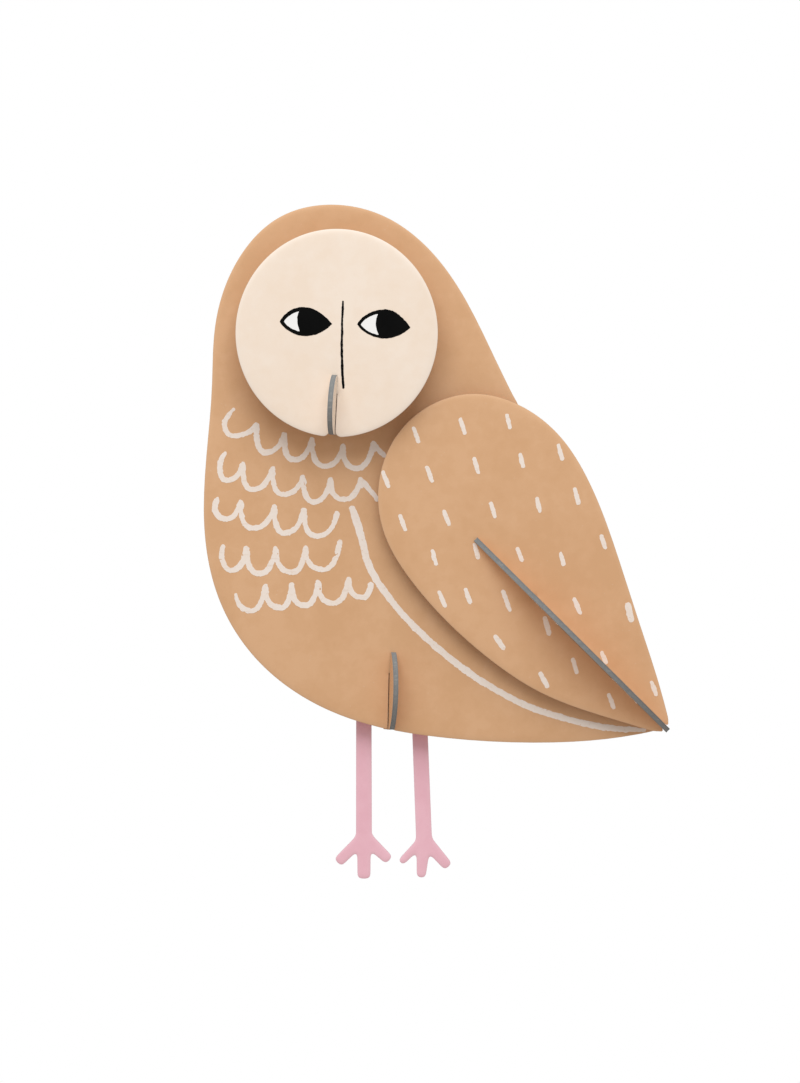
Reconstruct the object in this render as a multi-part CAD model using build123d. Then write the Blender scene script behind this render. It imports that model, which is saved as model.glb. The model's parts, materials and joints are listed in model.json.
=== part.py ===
from build123d import *
import os
from math import atan2, cos, degrees, radians, sin, tan

# A slot-together owl for the wall: seven die-cut boards of grey paperboard with a
# printed paper glued on each face. Body, face, wing and legs face the room. Beak, wing
# fin and keel stand on edge, cross-lap the others, and reach back to the wall.
#
# Millimetres. +X is the owl's tail side, +Z is up and the owl looks along -Y. The
# origin is the centre of the hang hole, on the back face of the body board.
# A depth is the distance in front of that face, so depth d lies at Y = -d.

# ---- The board ----
core_thickness = 1.5  # solid grey paperboard
print_thickness = 0.15  # printed paper glued on each face
board = core_thickness + 2 * print_thickness
die_round = 0.5  # corners left round by the cutting die
lip_round = 2.0  # lead-in at a slot's mouth
wing_tip_round = 0.75
nose_round = 1.0  # ends of a fin's bowed front

# ---- Fits ----
side_clearance = 0.07  # beside a board in a slot, each side
seat_clearance = 0.05  # at a slot's bottom, on each of the two boards
shoulder_clearance = 0.05  # between a fin's shoulder and the body it rests on

# ---- How far each board stands from the next ----
face_gap = 10.0  # body to face disc
wing_gap = 3.8  # body to wing
legs_gap = 5.0  # body to legs, behind it
wall_gap = 12.0  # body to wall, held by the fins' back edges

# ---- Body ----
body_width = 157.8
body_height = 183.4
hole_from_left = 73.8
hole_from_top = 36.7
hole_radius = 2.0

# ---- Face disc ----
face_width = 68.8
face_height = 70.8
face_from_left = 45.1  # centre, from the body's left edge
face_from_top = 43.9  # centre, from the body's top edge

# ---- Beak, stood on edge through the face ----
beak_offset = -1.56  # its foot, from the face's centre line
beak_foot_rise = 0.85  # its foot, above the face's bottom edge
beak_height = 20.3
beak_seat = 13.8  # height at which the face hangs on it
beak_tilt = 3.1  # degrees clockwise from upright
beak_lean = -6.5  # degrees, front edge to the left
beak_web_height = 46.0  # hidden part behind the face
beak_out_top = 1.6  # how far its front edge stands out of the face
beak_out_middle = 9.6
beak_out_bottom = 1.4
beak_tabs = ((5.0, 12.0), (29.0, 12.0))  # start and length of each tab

# ---- Keel, stood on edge through the body's bottom edge ----
keel_from_left = 63.45
keel_height = 26.4
keel_seat = 19.1
keel_tilt = 1.3
keel_lean = 8.1
keel_out_top = 2.0
keel_out_middle = 9.5
keel_out_bottom = 2.0

# ---- Wing and the fin along it ----
wing_width = 99.2
wing_height = 115.8
wing_past_tail = (0.6, 2.0)  # wing tip, right of and below the body's tail corner
fin_length = 92.5
fin_foot = (-0.3, 1.0)  # foot of the fin, from the corner of the wing's box
fin_tilt = -45.15
fin_seat = 64.3
fin_height = 13.5  # most that it stands out of the wing
fin_end_height = 1.0
# Its crest, as shares of its length and of its height.
fin_crest = ((0.14, 0.6), (0.41, 1.0), (0.76, 0.6))
fin_web = (5.0, 84.0)  # stretch that reaches behind the wing
fin_tabs = ((14.0, 12.0), (52.0, 14.0))

# ---- Legs ----
bridge_low = 12.0  # bottom and top of the bridge, above the keel's foot
bridge_high = 25.0
legs_seat = 18.0  # where the legs hang on the keel
hip_width = 5.2
ankle_width = 5.4
ankle_drop = 36.5  # ankles, below the keel's foot
bridge_overhang = 4.0  # bridge, past each leg
bridge_round = 1.8
shin_past_ankle = 1.0  # shin, into the root of the toes
# For each leg: hip and ankle from the keel's foot, then ankle drop beyond ankle_drop,
# then its toes as (turn from straight down, length, width at root, width at tip).
left_leg = (-8.2, -8.15, 0.0, ((-45, 12.7, 3.9, 3.6), (0, 14.4, 4.6, 4.4), (46.6, 11.9, 4.6, 3.4)))
right_leg = (10.25, 12.35, 0.8, ((-44.4, 11.5, 3.1, 2.4), (-4.3, 13.3, 5.0, 3.0), (41, 12.7, 4.4, 3.4)))

# ---- Derived places ----
body_mid = board / 2
face_mid = board + face_gap + board / 2
wing_mid = board + wing_gap + board / 2
legs_mid = -legs_gap - board / 2
body_left = -hole_from_left
body_top = hole_from_top
body_bottom = body_top - body_height
far = 400.0  # longer than any board, for cuts that run out of an edge

# Outlines as shares of their own width and height, from their lower left corner.
body_shares = (
    (0.897, 0.010), (0.725, 0.000), (0.509, 0.010), (0.300, 0.049), (0.127, 0.142),
    (0.038, 0.253), (0.001, 0.384), (0.004, 0.532), (0.016, 0.662), (0.023, 0.774),
    (0.064, 0.885), (0.165, 0.978), (0.271, 1.000), (0.389, 0.978), (0.499, 0.904),
    (0.583, 0.793), (0.677, 0.629),
)  # fmt: skip
tail_share = (0.999, 0.028)
wing_shares = (
    (0.996, 0.050), (0.958, 0.168), (0.891, 0.345), (0.813, 0.551), (0.716, 0.757),
    (0.625, 0.875), (0.493, 0.963), (0.327, 0.999), (0.176, 0.963), (0.062, 0.872),
    (0.002, 0.716), (0.021, 0.593), (0.119, 0.446), (0.380, 0.222), (0.560, 0.121),
    (0.788, 0.048), (0.935, 0.010),
)  # fmt: skip
wing_tip_share = (1.000, 0.004)


def placed(share, left, bottom, width, height):
    """A point given as shares of a box, in millimetres."""
    return (left + share[0] * width, bottom + share[1] * height)


def span(x0, x1, y0, y1):
    """A rectangle between two corners."""
    return Pos((x0 + x1) / 2, (y0 + y1) / 2) * Rectangle(abs(x1 - x0), abs(y1 - y0))


def rounded_near(outline, point, count, radius):
    """Round the corners of an outline that lie nearest a point."""
    return fillet(outline.vertices().sort_by_distance((*point, 0))[:count], radius)


def tapered(start, turn, length, root_width, tip_width):
    """A straight bar from a point, turned in degrees from straight down towards the tail."""
    along = Vector(sin(radians(turn)), -cos(radians(turn)))
    across = Vector(-along.Y, along.X)
    start = Vector(*start)
    tip = start + along * length
    corners = (
        start + across * (root_width / 2),
        tip + across * (tip_width / 2),
        tip - across * (tip_width / 2),
        start - across * (root_width / 2),
    )
    return make_face(Polyline(*corners, close=True))


def laminate(outline, plane, names):
    """Glue up one board about its mid-plane: a print, the grey core and a print."""
    plies = {}
    level = -board / 2
    for name, thickness in zip(names, (print_thickness, core_thickness, print_thickness)):
        plies[name] = extrude(plane.offset(level) * outline, amount=thickness)
        level += thickness
    return plies


def panel(name, outline, depth):
    """A board that faces the room, drawn in X and Z."""
    names = (f"{name}_back_print", f"{name}_core", f"{name}_front_print")
    return laminate(outline, Plane.XZ.offset(depth), names)


class Fin:
    """A board stood on edge, drawn with x pointing out to the front and y up its slot.

    Its foot is at (x, z) on the panel at the given depth. Tilt turns it clockwise in the
    panel's plane and lean tips its front edge to the right, in the slack of its slots.
    """

    def __init__(self, x, z, depth, tilt, lean):
        self.foot = Vector(x, z)
        self.depth = depth
        self.lean = radians(lean)
        self.up = Vector(sin(radians(tilt)), cos(radians(tilt)))
        self.right = Vector(self.up.Y, -self.up.X)

    @property
    def slot_width(self):
        """Width of a slot that lets a board through at this lean, in either board."""
        return board / cos(self.lean) + board * tan(abs(self.lean)) + 2 * side_clearance

    def plane(self):
        right = Vector(self.right.X, 0, self.right.Y)
        front = Vector(0, -1, 0)
        out = front * cos(self.lean) + right * sin(self.lean)
        left = front * sin(self.lean) - right * cos(self.lean)
        return Plane(origin=(self.foot.X, -self.depth, self.foot.Y), x_dir=out, z_dir=left)

    def out(self, depth):
        """Where a depth falls on the fin's own x axis."""
        return (depth - self.depth) / cos(self.lean)

    def shoulder(self, depth):
        """Own x of an edge that rests on a panel's front face at that depth."""
        return self.out(depth) + board / 2 * tan(abs(self.lean)) + shoulder_clearance

    def back_edge(self):
        """Own x of an edge whose rearmost corner touches the wall."""
        return self.out(-wall_gap) + board / 2 * tan(abs(self.lean))

    def crossing(self, depth):
        """The point of a panel, in X and Z, that the fin's foot line passes."""
        return self.foot + self.right * ((depth - self.depth) * tan(self.lean))

    def cut_in_panel(self, depth, low, high):
        """The slot that this fin needs in a panel, from height low to height high."""
        start = self.crossing(depth) + self.up * low
        end = self.crossing(depth) + self.up * high
        side = self.right * (self.slot_width / 2)
        return make_face(Polyline(start + side, end + side, end - side, start - side, close=True))

    def cut_in_fin(self, depth, low, high):
        """The slot that a panel needs in this fin."""
        middle = self.out(depth)
        return span(middle - self.slot_width / 2, middle + self.slot_width / 2, low, high)

    def tab(self, low, length):
        """A tab through the body to the wall, with its back corners rounded."""
        # The side margin keeps the tab's ends off the ends of its slot.
        low, high = low + seat_clearance, low + length - seat_clearance
        shape = span(self.back_edge(), self.out(board), low, high)
        shape += span(self.out(board), self.shoulder(board) + board, low, high)
        back = shape.vertices().group_by(Axis.X)[0]
        return fillet(back, lip_round)

    def boards(self, name, outline):
        names = (f"{name}_right_print", f"{name}_core", f"{name}_left_print")
        return laminate(outline, self.plane(), names)


def edge_height(outline, x):
    """Height of an outline's lower edge at x."""
    return (outline & span(x - 0.01, x + 0.01, -far, far)).bounding_box().min.Y


def body_outline():
    """The owl's plain silhouette, rounded at the head and pointed at the tail."""
    box = (body_left, body_bottom, body_width, body_height)
    tail = placed(tail_share, *box)
    points = [placed(share, *box) for share in body_shares]
    edge = Spline(tail, *points) + Line(points[-1], tail)
    return rounded_near(make_face(edge), tail, 1, die_round)


def wing_outline(left, bottom):
    """A teardrop with its point at the lower right."""
    box = (left, bottom, wing_width, wing_height)
    points = [placed(share, *box) for share in wing_shares]
    tip = placed(wing_tip_share, *box)
    edge = Spline(*points) + Polyline(points[-1], tip, points[0])
    return rounded_near(make_face(edge), tip, 1, wing_tip_round)


def nose_profile(fin, front, height, out_bottom, out_middle, out_top):
    """The bowed front of a fin, from a panel's mid-plane outwards."""
    face = fin.out(front)
    inner = fin.out(front - board / 2)
    bow = ThreePointArc(
        (face + out_bottom, 0), (face + out_middle, height / 2), (face + out_top, height)
    )
    edge = bow + Polyline(bow @ 1, (inner, height), (inner, 0), bow @ 0)
    outline = make_face(edge)
    front_corners = outline.vertices().group_by(Axis.X)[1:]
    return fillet([corner for group in front_corners for corner in group], nose_round)


# ---- Blank outlines and the fins' places ----
body_blank = body_outline()

face_x = body_left + face_from_left
face_z = body_top - face_from_top
face_blank = Pos(face_x, face_z) * Ellipse(face_width / 2, face_height / 2)
beak = Fin(
    face_x + beak_offset, face_z - face_height / 2 + beak_foot_rise, face_mid, beak_tilt, beak_lean
)

keel_x = body_left + keel_from_left
keel = Fin(keel_x, edge_height(body_blank, keel_x), body_mid, keel_tilt, keel_lean)

tail = placed(tail_share, body_left, body_bottom, body_width, body_height)
wing_right = tail[0] + wing_past_tail[0]
wing_bottom = tail[1] - wing_past_tail[1]
wing_blank = wing_outline(wing_right - wing_width, wing_bottom)
wing_fin = Fin(wing_right + fin_foot[0], wing_bottom + fin_foot[1], wing_mid, fin_tilt, 0)


def make_face_disc():
    outline = face_blank - beak.cut_in_panel(face_mid, -far, beak_seat + seat_clearance)
    mouth = beak.crossing(face_mid)
    return panel("face", rounded_near(outline, (mouth.X, mouth.Y), 2, lip_round), face_mid)


def make_beak():
    web = span(beak.shoulder(board), beak.out(face_mid), 0, beak_web_height)
    web = fillet(web.vertices().group_by(Axis.Y)[-1], lip_round)
    nose = nose_profile(
        beak, board + face_gap + board, beak_height, beak_out_bottom, beak_out_middle, beak_out_top
    )
    outline = web + nose
    for low, length in beak_tabs:
        outline += beak.tab(low, length)
    outline -= beak.cut_in_fin(face_mid, beak_seat - seat_clearance, far)
    return beak.boards("beak", outline)


def make_keel():
    nose = nose_profile(
        keel, board, keel_height, keel_out_bottom, keel_out_middle, keel_out_top
    )
    back = span(keel.back_edge(), keel.out(body_mid), 0, keel_height)
    back = fillet(back.vertices().group_by(Axis.X)[0], lip_round)
    outline = nose + back
    outline -= keel.cut_in_fin(body_mid, keel_seat - seat_clearance, far)
    outline -= keel.cut_in_fin(legs_mid, legs_seat - seat_clearance, far)
    return keel.boards("keel", outline)


def make_wing():
    outline = wing_blank - wing_fin.cut_in_panel(wing_mid, -far, fin_seat + seat_clearance)
    mouth = wing_fin.foot
    return panel("wing", rounded_near(outline, (mouth.X, mouth.Y), 2, die_round), wing_mid)


def make_wing_fin():
    face = wing_fin.out(wing_mid + board / 2)
    crest = [(face + rise * fin_height, along * fin_length) for along, rise in fin_crest]
    ridge = Spline((face + fin_end_height, 0), *crest, (face + fin_end_height, fin_length))
    middle = wing_fin.out(wing_mid)
    blade = make_face(ridge + Polyline(ridge @ 1, (middle, fin_length), (middle, 0), ridge @ 0))
    outline = blade + span(wing_fin.shoulder(board), middle, *fin_web)
    for low, length in fin_tabs:
        outline += wing_fin.tab(low, length)
    outline -= wing_fin.cut_in_fin(wing_mid, fin_seat - seat_clearance, far)
    return wing_fin.boards("wing_fin", outline)


def make_body():
    outline = body_blank
    outline -= keel.cut_in_panel(body_mid, -far, keel_seat + seat_clearance)
    outline = rounded_near(outline, (keel.foot.X, keel.foot.Y), 2, die_round)
    for fin, tabs in ((beak, beak_tabs), (wing_fin, fin_tabs)):
        for low, length in tabs:
            outline -= fin.cut_in_panel(body_mid, low, low + length)
    outline -= Circle(hole_radius)
    return panel("body", outline, body_mid)


def make_legs():
    foot = keel.crossing(legs_mid)
    low, high = foot.Y + bridge_low, foot.Y + bridge_high
    past_leg = hip_width / 2 + bridge_overhang
    bridge = span(foot.X + left_leg[0] - past_leg, foot.X + right_leg[0] + past_leg, low, high)
    outline = fillet(bridge.vertices(), bridge_round)
    for hip, ankle, extra_drop, toes in (left_leg, right_leg):
        hip_point = Vector(foot.X + hip, (low + high) / 2)
        ankle_point = Vector(foot.X + ankle, foot.Y - ankle_drop - extra_drop)
        shin = ankle_point - hip_point
        turn = degrees(atan2(shin.X, -shin.Y))
        length = shin.length + shin_past_ankle
        outline += tapered(hip_point, turn, length, hip_width, ankle_width)
        for turn, length, root_width, tip_width in toes:
            outline += tapered(ankle_point, turn, length, root_width, tip_width)
    toe_corners = outline.vertices().filter_by(lambda v: v.Y < foot.Y - ankle_drop + ankle_width)
    outline = fillet(toe_corners, die_round)
    outline -= keel.cut_in_panel(legs_mid, -bridge_low, legs_seat + seat_clearance)
    return panel("legs", outline, legs_mid)


os.makedirs("parts", exist_ok=True)
for plies in (
    make_body(),
    make_face_disc(),
    make_beak(),
    make_wing(),
    make_wing_fin(),
    make_keel(),
    make_legs(),
):
    for node, solid in plies.items():
        export_step(solid, f"parts/{node}.step")
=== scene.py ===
import json
import math
from collections import defaultdict

import bmesh
import bpy
import numpy as np
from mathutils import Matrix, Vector
from mathutils.geometry import delaunay_2d_cdt

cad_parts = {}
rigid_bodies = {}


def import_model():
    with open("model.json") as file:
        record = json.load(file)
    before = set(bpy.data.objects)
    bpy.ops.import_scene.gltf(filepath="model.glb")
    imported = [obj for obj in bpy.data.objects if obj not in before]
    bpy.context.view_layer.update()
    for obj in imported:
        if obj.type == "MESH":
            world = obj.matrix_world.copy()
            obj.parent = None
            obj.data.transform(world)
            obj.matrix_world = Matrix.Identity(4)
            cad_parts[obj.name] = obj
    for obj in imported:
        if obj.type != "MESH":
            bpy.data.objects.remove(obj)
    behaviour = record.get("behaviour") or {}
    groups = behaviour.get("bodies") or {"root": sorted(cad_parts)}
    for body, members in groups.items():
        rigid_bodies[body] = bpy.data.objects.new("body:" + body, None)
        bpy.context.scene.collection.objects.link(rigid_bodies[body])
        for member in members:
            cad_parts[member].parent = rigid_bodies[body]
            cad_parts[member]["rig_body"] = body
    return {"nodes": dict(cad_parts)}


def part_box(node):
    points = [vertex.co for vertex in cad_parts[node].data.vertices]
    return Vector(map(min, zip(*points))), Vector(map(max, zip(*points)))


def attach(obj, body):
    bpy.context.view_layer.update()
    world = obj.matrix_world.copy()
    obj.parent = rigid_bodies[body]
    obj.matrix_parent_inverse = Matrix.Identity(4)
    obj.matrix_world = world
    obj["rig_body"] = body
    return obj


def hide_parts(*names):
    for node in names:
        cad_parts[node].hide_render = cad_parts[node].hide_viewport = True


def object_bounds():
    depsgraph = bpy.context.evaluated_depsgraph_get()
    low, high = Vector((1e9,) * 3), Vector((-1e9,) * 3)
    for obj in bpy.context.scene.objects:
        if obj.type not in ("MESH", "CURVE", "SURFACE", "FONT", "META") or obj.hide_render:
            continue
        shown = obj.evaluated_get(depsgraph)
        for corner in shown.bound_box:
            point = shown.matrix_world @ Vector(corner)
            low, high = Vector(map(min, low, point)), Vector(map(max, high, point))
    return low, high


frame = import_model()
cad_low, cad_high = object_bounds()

MM = 0.001  # every size below is in millimetres until it becomes a mesh

# ---------------------------------------------------------------- the boards

PAPER = 0.15          # printed paper glued on each side of the grey board
CORNER = 28           # degrees: a sharper turn in a cut line is a real corner
LONGEST_BEND = 5.0    # a longer step of a cut line is a straight run
COCKLE = ((35.0, 0.045, 11), (12.0, 0.018, 12))  # wavelength, height, seed
# how far through the grey board, and how far back from the cut
WALL_ROWS = (
    (0.0, 0.0), (0.12, 0.03), (0.32, 0.06), (0.55, 0.05), (0.8, 0.06), (0.93, 0.02), (1.0, 0.0),
)
PLAIN_WALL = ((0.0, 0.0), (1.0, 0.0))
WALL_TEAR = 0.02      # how unevenly the knife leaves the grey fibres
TOE_WEAR = 7          # how often the toes' corners are smoothed
SLOT_WIDTHS = (1.85, 1.97, 2.09, 2.21)
SLOT_TOLERANCE = 0.12
POINT_GAP = 0.13      # inner points closer than this become one
RIM_ROWS = (0.15, 0.35, 0.7, 1.2, 1.9)  # how far in from the cut lie the rows of points


def soft_noise(points, wavelength, seed):
    """A smooth wandering value from -1 to 1 over flat points, the same each run."""
    lattice = np.random.default_rng(seed).uniform(-1, 1, (97, 97))
    place = np.asarray(points) / wavelength + 0.37
    cell = np.floor(place).astype(int)
    share = place - cell
    share = share * share * (3 - 2 * share)
    i, j = cell[..., 0] % 96, cell[..., 1] % 96
    across, up = share[..., 0], share[..., 1]
    low = lattice[i, j] * (1 - across) + lattice[i + 1, j] * across
    high = lattice[i, j + 1] * (1 - across) + lattice[i + 1, j + 1] * across
    return low * (1 - up) + high * up


def finer_loop(points, longest):
    """A cut line in steps no longer than `longest`, its corners kept, its bends rounded out."""
    ahead = np.roll(points, -1, 0) - points
    length = np.linalg.norm(ahead, axis=1)
    unit = ahead / length[:, None]
    back_unit, back_length = np.roll(unit, 1, 0), np.roll(length, 1)
    turn = np.degrees(np.arccos(np.clip((unit * back_unit).sum(1), -1, 1)))
    heading = unit * back_length[:, None] + back_unit * length[:, None]
    heading = np.where((length > LONGEST_BEND)[:, None], unit, heading)
    heading = np.where((back_length > LONGEST_BEND)[:, None], back_unit, heading)
    heading /= np.linalg.norm(heading, axis=1)[:, None]
    made = []
    for i in range(len(points)):
        j = (i + 1) % len(points)
        leave = heading[i] if turn[i] < CORNER else unit[i]
        arrive = heading[j] if turn[j] < CORNER else unit[i]
        if length[i] > LONGEST_BEND:
            leave = arrive = unit[i]
        steps = max(1, math.ceil(length[i] / longest))
        for t in np.arange(steps) / steps:
            made.append(
                points[i] * (2 * t**3 - 3 * t**2 + 1) + points[j] * (3 * t**2 - 2 * t**3)
                + leave * length[i] * (t**3 - 2 * t**2 + t) + arrive * length[i] * (t**3 - t**2)
            )
    return np.array(made)


def rounded_below(loop, height, step):
    """The same cut line with the corners below a height worn round, as on the toes."""
    low = loop[:, 1] < height
    if not low.any():
        return loop
    loop, low = (np.roll(values, -int(np.argmin(low)), 0) for values in (loop, low))
    changes = np.nonzero(np.diff(low))[0] + 1
    made = []
    for part, is_low in zip(np.split(loop, changes), np.split(low, changes)):
        if is_low[0]:
            along = np.cumsum(np.linalg.norm(np.diff(part, axis=0), axis=1))
            along = np.concatenate([[0], along])
            even = np.linspace(0, along[-1], round(along[-1] / step))
            part = np.column_stack([np.interp(even, along, part[:, k]) for k in (0, 1)])
            for _ in range(TOE_WEAR):
                part[1:-1] = (part[:-2] + 2 * part[1:-1] + part[2:]) / 4
        made.append(part)
    return np.concatenate(made)


def loop_normals(loop):
    """Unit directions into the board at each point of a loop that keeps the board on its left."""
    ahead = np.roll(loop, -1, 0) - loop
    ahead /= np.maximum(np.linalg.norm(ahead, axis=1)[:, None], 1e-9)
    both = ahead + np.roll(ahead, 1, 0)
    both /= np.maximum(np.linalg.norm(both, axis=1)[:, None], 1e-9)
    return np.stack([-both[:, 1], both[:, 0]], 1)


def distance_to_loops(points, loops, wanted=None):
    """How far points lie from closed loops, or only from the wanted runs of each loop."""
    nearest = np.full(len(points), 1e9)
    for number, loop in enumerate(loops):
        run = np.roll(loop, -1, 0) - loop
        if wanted is not None:
            loop, run = loop[wanted[number]], run[wanted[number]]
            if not len(loop):
                continue
        square = np.maximum((run**2).sum(1), 1e-12)
        for start in range(0, len(points), 1500):
            part = points[start:start + 1500, None]
            t = np.clip(((part - loop) * run).sum(2) / square, 0, 1)
            gap = np.linalg.norm(part - loop - t[..., None] * run, axis=2).min(1)
            nearest[start:start + 1500] = np.minimum(nearest[start:start + 1500], gap)
    return nearest


def fill(loops, inner=()):
    """Triangles over the area that the loops keep on their left: (points, triangles)."""
    points = np.concatenate([*loops, *([np.asarray(inner)] if len(inner) else [])])
    rims, start = [], 0
    for loop in loops:
        rims += [(start + i, start + (i + 1) % len(loop)) for i in range(len(loop))]
        start += len(loop)
    made, _, faces, origin, _, _ = delaunay_2d_cdt(
        [Vector(p) for p in points], rims, [], 0, 1e-6
    )
    made = np.array([tuple(p) for p in made])
    now = {old: new for new, olds in enumerate(origin) for old in olds}
    rim = {(now[a], now[b]) for a, b in rims}
    triangles = []
    for face in faces:
        a, b, c = made[face[0]], made[face[1]], made[face[2]]
        turn = (b[0] - a[0]) * (c[1] - a[1]) - (b[1] - a[1]) * (c[0] - a[0])
        triangles.append(tuple(face) if turn > 0 else (face[0], face[2], face[1]))
    owner = {}
    for t, face in enumerate(triangles):
        for k in range(3):
            owner[face[k], face[(k + 1) % 3]] = t
    kept = {owner[edge] for edge in rim if edge in owner}
    stack = list(kept)
    while stack:
        face = triangles[stack.pop()]
        for k in range(3):
            edge = (face[k], face[(k + 1) % 3])
            beyond = owner.get(edge[::-1])
            if edge not in rim and beyond is not None and beyond not in kept:
                kept.add(beyond)
                stack.append(beyond)
    chosen = np.array([triangles[t] for t in sorted(kept)])
    used, compact = np.unique(chosen, return_inverse=True)
    return made[used], compact.reshape(-1, 3)


def rim_edges(triangles):
    """Directed edges that only one triangle has."""
    edges = {(int(f[k]), int(f[(k + 1) % 3])) for f in triangles for k in range(3)}
    return [e for e in edges if e[::-1] not in edges]


class Board:
    """One die-cut board: its plane, its cut lines and the lie of its two faces."""

    def __init__(
        self, name, sides, front_roll, back_roll, roll_width, step, field, cockled, toes=0.0,
    ):
        self.name = name
        self.core, self.front, self.back = (f"{name}_{s}" for s in ("core", *sides))
        self.sides = sides
        self.front_roll, self.back_roll, self.roll_width = front_roll, back_roll, roll_width
        self.cockled = cockled
        self.find_plane()
        self.loops = [finer_loop(loop, step) for loop in self.cut_lines()]
        lowest = min(loop[:, 1].min() for loop in self.loops)
        self.loops = [rounded_below(loop, lowest + toes, step) for loop in self.loops]
        self.rolled = [self.knife_edges(loop) for loop in self.loops]
        inner = [self.middle_points(field)]
        for loop in self.loops:
            for row in RIM_ROWS:
                line = (loop + loop_normals(loop) * row)[:: 1 + (row > step)]
                inner.append(line[distance_to_loops(line, self.loops) > 0.96 * row])
        inner = np.concatenate(inner)
        _, first = np.unique(np.round(inner / POINT_GAP).astype(int), axis=0, return_index=True)
        self.points, self.triangles = fill(self.loops, inner[np.sort(first)])
        self.rim = rim_edges(self.triangles)
        self.cut_distance = distance_to_loops(self.points, self.loops)

    def find_plane(self):
        shape = bmesh.new()
        shape.from_mesh(frame["nodes"][self.core].data)
        areas = defaultdict(float)
        for face in shape.faces:
            n = face.normal
            sign = 1 if (n.x, n.y, n.z) > (0, 0, 0) else -1
            areas[tuple(round(sign * c, 4) for c in n)] += face.calc_area()
        self.out = Vector(max(areas, key=areas.get)).normalized()
        shape.free()
        middle = lambda node: sum(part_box(node), Vector()) / 2
        if (middle(self.front) - middle(self.back)).dot(self.out) < 0:
            self.out.negate()
        self.up = (Vector((0, 0, 1)) - self.out * self.out.z).normalized()
        self.right = self.up.cross(self.out)
        self.axes = np.array([self.right, self.up, self.out])
        heights = lambda node: self.flat(frame["nodes"][node])[:, 2]
        self.face = heights(self.front).max()
        self.rear = heights(self.back).min()

    def flat(self, thing):
        """A mesh's points as (right, up, out) in this board's own millimetres."""
        points = np.empty(len(thing.data.vertices) * 3)
        thing.data.vertices.foreach_get("co", points)
        return points.reshape(-1, 3) @ self.axes.T / MM

    def cut_lines(self):
        shape = bmesh.new()
        shape.from_mesh(frame["nodes"][self.core].data)
        bmesh.ops.remove_doubles(shape, verts=shape.verts, dist=1e-6)
        shape.verts.index_update()
        place = np.array([v.co for v in shape.verts]) @ self.axes.T / MM
        top = place[:, 2].max() - 0.01
        faces = {f for f in shape.faces if all(place[v.index, 2] > top for v in f.verts)}
        ahead = {}
        for face in faces:
            for corner in face.loops:
                if sum(f in faces for f in corner.edge.link_faces) == 1:
                    ahead[corner.vert.index] = corner.link_loop_next.vert.index
        shape.free()
        loops = []
        while ahead:
            first, here = next(iter(ahead.items()))
            del ahead[first]
            loop = [first]
            while here != first:
                loop.append(here)
                here = ahead.pop(here)
            loops.append(place[loop, :2])
        return loops

    def middle_points(self, field):
        low, high = self.loops_box()
        rows = np.arange(low[1], high[1], field * 0.866)
        points = [
            (x, y)
            for k, y in enumerate(rows)
            for x in np.arange(low[0] + field / 2 * (k % 2), high[0], field)
        ]
        points = np.array(points) if points else np.zeros((0, 2))
        return points[distance_to_loops(points, self.loops) > RIM_ROWS[-1] + field * 0.4]

    def knife_edges(self, loop):
        """Which runs of a cut line are open edges; the narrow slots were punched and stay flat."""
        run = np.roll(loop, -1, 0) - loop
        outward = np.stack([run[:, 1], -run[:, 0]], 1) / np.linalg.norm(run, axis=1)[:, None]
        across = [
            distance_to_loops(loop + run / 2 + outward * width, self.loops)
            for width in SLOT_WIDTHS
        ]
        return np.min(across, axis=0) > SLOT_TOLERANCE

    def loops_box(self):
        every = np.concatenate(self.loops)
        return every.min(0), every.max(0)

    def faces_at(self, points):
        """Heights of the printed front and back over flat points."""
        distance = distance_to_loops(points, self.loops, self.rolled)
        wave = sum(soft_noise(points, w, seed) * h for w, h, seed in COCKLE) * self.cockled
        near = np.clip(1 - distance / self.roll_width, 0, 1)
        sharp = np.clip(1 - distance / 0.5, 0, 1)
        front = self.face + wave - self.front_roll * (0.8 * near**2.2 + 0.2 * sharp**1.6)
        back = self.rear + wave + self.back_roll * near**2
        return front, back

    def corner(self, right, down):
        """Flat points measured from this board's top left corner."""
        low, high = self.loops_box()
        return np.array([low[0] + right, high[1] - down])

    def place(self, flat, height):
        return (np.column_stack([flat, height]) @ self.axes) * MM


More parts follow.
